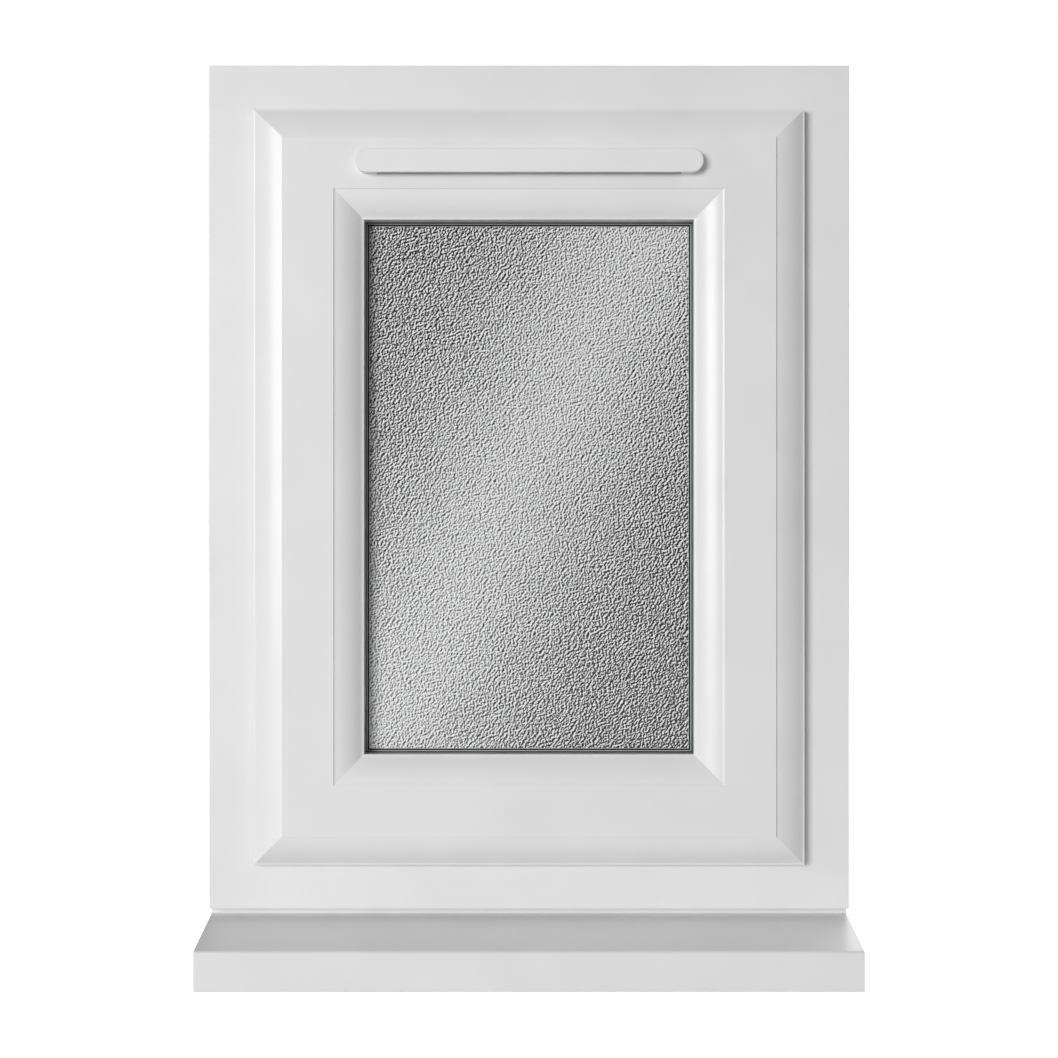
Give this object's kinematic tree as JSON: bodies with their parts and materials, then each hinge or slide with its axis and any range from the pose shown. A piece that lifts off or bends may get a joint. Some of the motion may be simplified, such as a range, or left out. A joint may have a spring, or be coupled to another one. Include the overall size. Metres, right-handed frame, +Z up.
{
  "type": "casement window",
  "caption": "White plastic casement window with one outward-opening sash of patterned double glazing, moulded sash frame, trickle vent, projecting sill, friction stays and espagnolette lock.",
  "frame": {"origin": "on the sill's flat underside, at mid width, straight below the frame's outside face", "axes": "+X to the right seen from outside, the outside faces -Y, +Z up"},
  "size_m": [0.62, 0.17, 0.8764],
  "materials": {
    "white_plastic": "smooth semi-gloss",
    "sill_plastic": "smooth semi-gloss",
    "vent_plastic": "smooth satin",
    "black_seal": "matte",
    "black_sealant": "matte",
    "patterned_glass": "stippled obscure",
    "clear_glass": "clear",
    "spacer_metal": "mill",
    "packer_plastic": "matte",
    "galvanised_steel": "galvanised",
    "stainless_steel": "brushed",
    "zinc_plated": "bright zinc plated",
    "grey_nylon": "matte",
    "handle_paint": "white powder coat",
    "button_chrome": "polished"
  },
  "bodies": {
    "frame": {"frame_head": "white_plastic", "frame_bottom_rail": "white_plastic", "frame_hinge_jamb": "white_plastic", "frame_lock_jamb": "white_plastic", "frame_steels": "galvanised_steel", "frame_seal": "black_seal", "sill": "sill_plastic", "sill_cap_left": "sill_plastic", "sill_cap_right": "sill_plastic", "sill_screws": "zinc_plated", "upper_stay_track": "stainless_steel", "lower_stay_track": "stainless_steel", "track_rivets": "stainless_steel", "track_screws": "zinc_plated", "lock_keeps": "stainless_steel", "keep_screws": "zinc_plated"},
    "sash": {"sash_top_rail": "white_plastic", "sash_bottom_rail": "white_plastic", "sash_hinge_stile": "white_plastic", "sash_lock_stile": "white_plastic", "sash_steels": "galvanised_steel", "sash_seal": "black_seal", "outer_pane": "patterned_glass", "inner_pane": "clear_glass", "spacer_frame": "spacer_metal", "edge_sealant": "black_sealant", "outer_gasket": "black_seal", "bead_gasket": "black_seal", "bead_top": "white_plastic", "bead_bottom": "white_plastic", "bead_hinge_side": "white_plastic", "bead_lock_side": "white_plastic", "glazing_packers": "packer_plastic", "vent_canopy": "vent_plastic", "vent_housing": "vent_plastic", "vent_screws": "zinc_plated", "lock_faceplate": "stainless_steel", "lock_case": "zinc_plated", "lock_screws": "zinc_plated", "handle_base": "zinc_plated", "handle_cover": "handle_paint", "handle_screws": "zinc_plated", "upper_sash_bar": "stainless_steel", "lower_sash_bar": "stainless_steel", "bar_rivets": "stainless_steel", "bar_screws": "zinc_plated"},
    "short_arm_low": {"lower_short_arm": "stainless_steel"},
    "short_arm_high": {"upper_short_arm": "stainless_steel"},
    "long_arm_low": {"lower_long_arm": "stainless_steel"},
    "long_arm_high": {"upper_long_arm": "stainless_steel"},
    "shoe_low": {"lower_shoe": "grey_nylon"},
    "shoe_high": {"upper_shoe": "grey_nylon"},
    "flap": {"vent_flap": "vent_plastic"},
    "handle": {"handle_lever": "handle_paint", "handle_spindle": "zinc_plated", "lock_pinion": "zinc_plated"},
    "button": {"lock_button": "button_chrome"},
    "lock_drive": {"lock_bar": "zinc_plated", "lock_cams": "stainless_steel"}
  },
  "joints": [
    {"name": "stay_swing", "type": "hinge", "parent": "frame", "child": "short_arm_low", "pos_m": [-0.1655, 0.024, 0.097], "axis": [0, 0, 1], "range_deg": [0, 70]},
    {"name": "sash_on_short_arm", "type": "hinge", "parent": "short_arm_low", "child": "sash", "pos_m": [-0.22517, 0.01773, 0.097], "axis": [0, 0, -1], "range_deg": [0, 140]},
    {"name": "lower_long_arm_swing", "type": "hinge", "parent": "sash", "child": "long_arm_low", "pos_m": [-0.12517, 0.01773, 0.097], "axis": [0, 0, 1], "range_deg": [0, 140]},
    {"name": "lower_shoe_turn", "type": "hinge", "parent": "long_arm_low", "child": "shoe_low", "pos_m": [0.0345, 0.024, 0.093], "axis": [0, 0, -1], "range_deg": [0, 70]},
    {"name": "upper_short_arm_swing", "type": "hinge", "parent": "frame", "child": "short_arm_high", "pos_m": [-0.1655, 0.024, 0.79], "axis": [0, 0, 1], "range_deg": [0, 70]},
    {"name": "upper_long_arm_swing", "type": "hinge", "parent": "sash", "child": "long_arm_high", "pos_m": [-0.12517, 0.01773, 0.79], "axis": [0, 0, 1], "range_deg": [0, 140]},
    {"name": "upper_shoe_turn", "type": "hinge", "parent": "long_arm_high", "child": "shoe_high", "pos_m": [0.0345, 0.024, 0.794], "axis": [0, 0, -1], "range_deg": [0, 70]},
    {"name": "handle_turn", "type": "hinge", "parent": "sash", "child": "handle", "pos_m": [0.215, 0.07, 0.4435], "axis": [0, -1, 0], "range_deg": [0, 90]},
    {"name": "lock_slide", "type": "slide", "parent": "sash", "child": "lock_drive", "axis": [0, 0, 1], "range_m": [0, 0.02]},
    {"name": "button_press", "type": "slide", "parent": "handle", "child": "button", "axis": [0, -1, 0], "range_m": [0, 0.003], "stiffness_N_per_m": 400, "springref_m": -0.002},
    {"name": "vent_flap_tilt", "type": "hinge", "parent": "sash", "child": "flap", "pos_m": [0, 0.0608, 0.747], "axis": [-1, 0, 0], "range_deg": [0, 45]}
  ],
  "couplings": [
    {"joint": "sash_on_short_arm", "follows": "stay_swing", "ratio": 2},
    {"joint": "lower_long_arm_swing", "follows": "stay_swing", "ratio": 2},
    {"joint": "upper_long_arm_swing", "follows": "stay_swing", "ratio": 2},
    {"joint": "lower_shoe_turn", "follows": "stay_swing", "ratio": 1},
    {"joint": "upper_shoe_turn", "follows": "stay_swing", "ratio": 1},
    {"joint": "upper_short_arm_swing", "follows": "stay_swing", "ratio": 1},
    {"joint": "lock_slide", "follows": "handle_turn", "m_per_rad": 0.012732}
  ]
}
